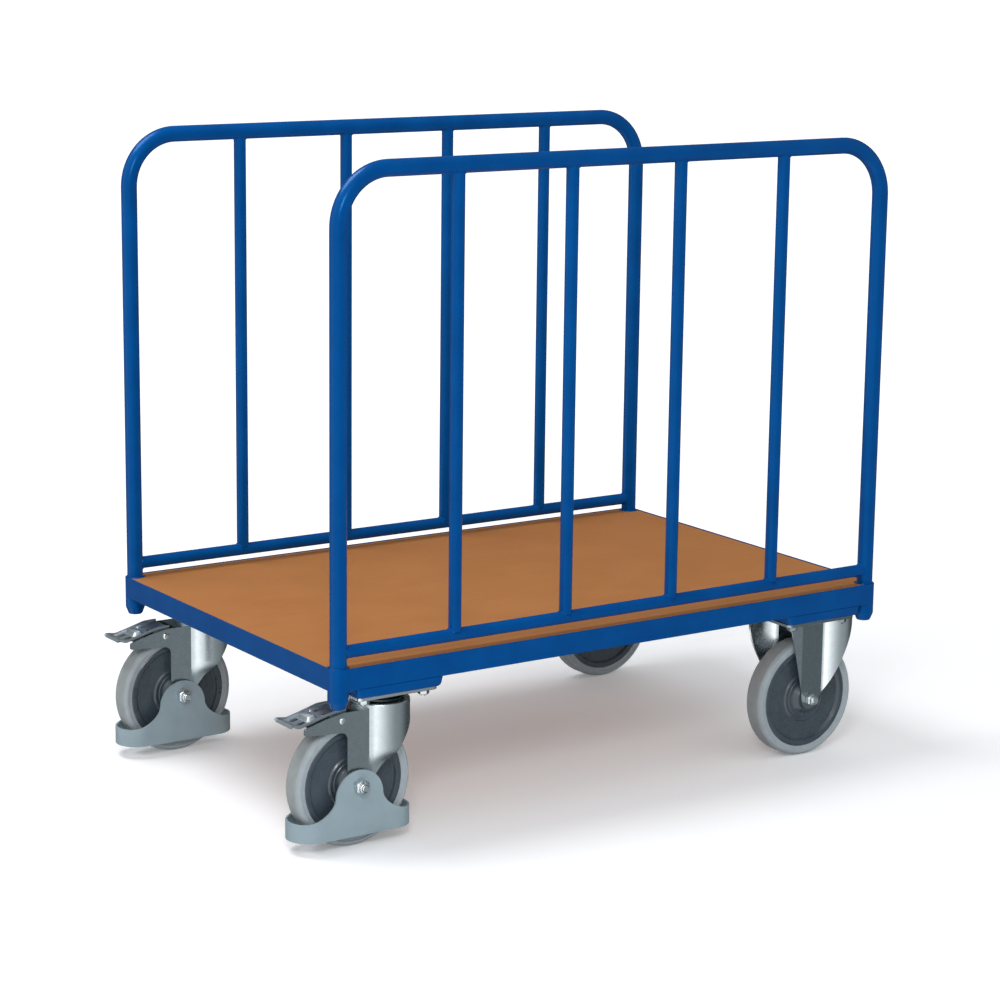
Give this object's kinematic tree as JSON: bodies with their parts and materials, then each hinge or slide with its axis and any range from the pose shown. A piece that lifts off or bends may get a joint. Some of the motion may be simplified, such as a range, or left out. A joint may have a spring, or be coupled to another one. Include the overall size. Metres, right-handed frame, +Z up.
{
  "type": "side rail platform trolley",
  "caption": "Platform trolley: framed board deck between tube side hoops with upright bars, on swivel castors with brake pedals and foot guards and on fixed castors.",
  "frame": {"origin": "on the floor under the middle of the trolley's outer box, which runs from the brake pedals' toes to the frame's fixed-castor end", "axes": "+X towards the fixed castors, +Y towards the far side hoop, +Z up"},
  "size_m": [1.1146, 0.696, 1.0347],
  "materials": {
    "blue_paint": "glossy powder coat",
    "board": "smooth laminated board in beech colour",
    "zinc": "bright zinc plated pressed steel",
    "tyre_rubber": "matt grey non-marking rubber",
    "shoe_rubber": "matt",
    "rim_plastic": "satin moulded",
    "guard_plastic": "satin moulded"
  },
  "bodies": {
    "trolley": {"frame_side_near": "blue_paint", "frame_side_far": "blue_paint", "frame_end_swivel": "blue_paint", "frame_end_fixed": "blue_paint", "load_board": "board", "deck_cross_member": "blue_paint", "corner_sleeve_near_swivel": "blue_paint", "corner_sleeve_near_fixed": "blue_paint", "corner_sleeve_far_swivel": "blue_paint", "corner_sleeve_far_fixed": "blue_paint", "side_hoop_near": "blue_paint", "side_hoop_far": "blue_paint", "lower_rail_near": "blue_paint", "lower_rail_far": "blue_paint", "bar_near_1": "blue_paint", "bar_near_2": "blue_paint", "bar_near_3": "blue_paint", "bar_near_4": "blue_paint", "bar_far_1": "blue_paint", "bar_far_2": "blue_paint", "bar_far_3": "blue_paint", "bar_far_4": "blue_paint", "castor_pan_swivel_near": "blue_paint", "castor_pan_swivel_far": "blue_paint", "castor_pan_fixed_near": "blue_paint", "castor_pan_fixed_far": "blue_paint", "swivel_near_plate": "zinc", "swivel_near_race": "zinc", "swivel_near_kingpin": "zinc", "swivel_far_plate": "zinc", "swivel_far_race": "zinc", "swivel_far_kingpin": "zinc", "fixed_near_fork": "zinc", "fixed_near_axle_bolt": "zinc", "fixed_near_axle_tube": "zinc", "fixed_far_fork": "zinc", "fixed_far_axle_bolt": "zinc", "fixed_far_axle_tube": "zinc"},
    "swivel_castor_near": {"swivel_near_fork": "zinc", "swivel_near_axle_bolt": "zinc", "swivel_near_axle_tube": "zinc", "swivel_near_pedal_pin": "zinc", "swivel_near_foot_guard": "guard_plastic"},
    "swivel_castor_far": {"swivel_far_fork": "zinc", "swivel_far_axle_bolt": "zinc", "swivel_far_axle_tube": "zinc", "swivel_far_pedal_pin": "zinc", "swivel_far_foot_guard": "guard_plastic"},
    "pedal_near": {"swivel_near_brake_pedal": "zinc", "swivel_near_brake_shoe": "shoe_rubber"},
    "pedal_far": {"swivel_far_brake_pedal": "zinc", "swivel_far_brake_shoe": "shoe_rubber"},
    "swivel_wheel_near": {"swivel_near_rim": "rim_plastic", "swivel_near_tyre": "tyre_rubber"},
    "swivel_wheel_far": {"swivel_far_rim": "rim_plastic", "swivel_far_tyre": "tyre_rubber"},
    "fixed_wheel_near": {"fixed_near_rim": "rim_plastic", "fixed_near_tyre": "tyre_rubber"},
    "fixed_wheel_far": {"fixed_far_rim": "rim_plastic", "fixed_far_tyre": "tyre_rubber"}
  },
  "joints": [
    {"name": "swivel_near", "type": "hinge", "parent": "trolley", "child": "swivel_castor_near", "pos_m": [-0.37874, -0.286, 0.23], "axis": [0, 0, 1], "continuous": true},
    {"name": "swivel_far", "type": "hinge", "parent": "trolley", "child": "swivel_castor_far", "pos_m": [-0.37874, 0.286, 0.23], "axis": [0, 0, 1], "continuous": true},
    {"name": "brake_near", "type": "hinge", "parent": "swivel_castor_near", "child": "pedal_near", "pos_m": [-0.46024, -0.286, 0.203], "axis": [0, -1, 0], "range_deg": [0, 12]},
    {"name": "brake_far", "type": "hinge", "parent": "swivel_castor_far", "child": "pedal_far", "pos_m": [-0.46024, 0.286, 0.203], "axis": [0, -1, 0], "range_deg": [0, 12]},
    {"name": "swivel_wheel_near_spin", "type": "hinge", "parent": "swivel_castor_near", "child": "swivel_wheel_near", "pos_m": [-0.43474, -0.286, 0.1], "axis": [0, 1, 0], "continuous": true},
    {"name": "swivel_wheel_far_spin", "type": "hinge", "parent": "swivel_castor_far", "child": "swivel_wheel_far", "pos_m": [-0.43474, 0.286, 0.1], "axis": [0, 1, 0], "continuous": true},
    {"name": "fixed_wheel_near_spin", "type": "hinge", "parent": "trolley", "child": "fixed_wheel_near", "pos_m": [0.44476, -0.286, 0.1], "axis": [0, 1, 0], "continuous": true},
    {"name": "fixed_wheel_far_spin", "type": "hinge", "parent": "trolley", "child": "fixed_wheel_far", "pos_m": [0.44476, 0.286, 0.1], "axis": [0, 1, 0], "continuous": true}
  ]
}
